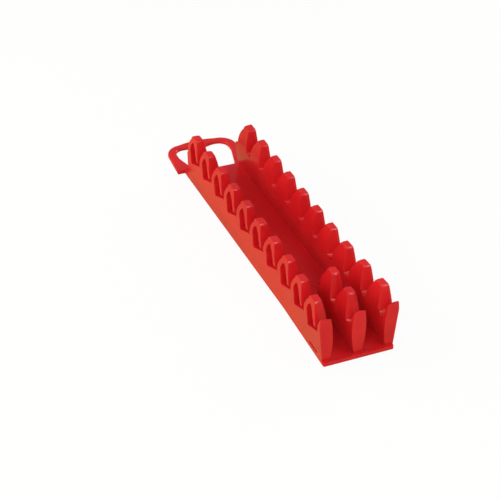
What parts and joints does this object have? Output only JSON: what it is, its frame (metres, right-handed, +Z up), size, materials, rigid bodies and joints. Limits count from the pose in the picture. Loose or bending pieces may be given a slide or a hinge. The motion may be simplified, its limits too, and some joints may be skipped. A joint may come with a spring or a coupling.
{
  "type": "screwdriver rack",
  "caption": "One-piece moulded plastic rack with rows of spring fingers that hold screwdrivers by their shafts, and a flat loop at one end for hanging or carrying it.",
  "frame": {"origin": "under the middle of the whole moulding, on the table plane", "axes": "+Z up, +Y along the rack towards the hanging loop, X across the rack"},
  "size_m": [0.06, 0.2948, 0.043],
  "materials": {
    "red_plastic": "semi-gloss moulded red plastic with faint moulding waviness"
  },
  "bodies": {
    "root": {"rack": "red_plastic"}
  },
  "joints": []
}
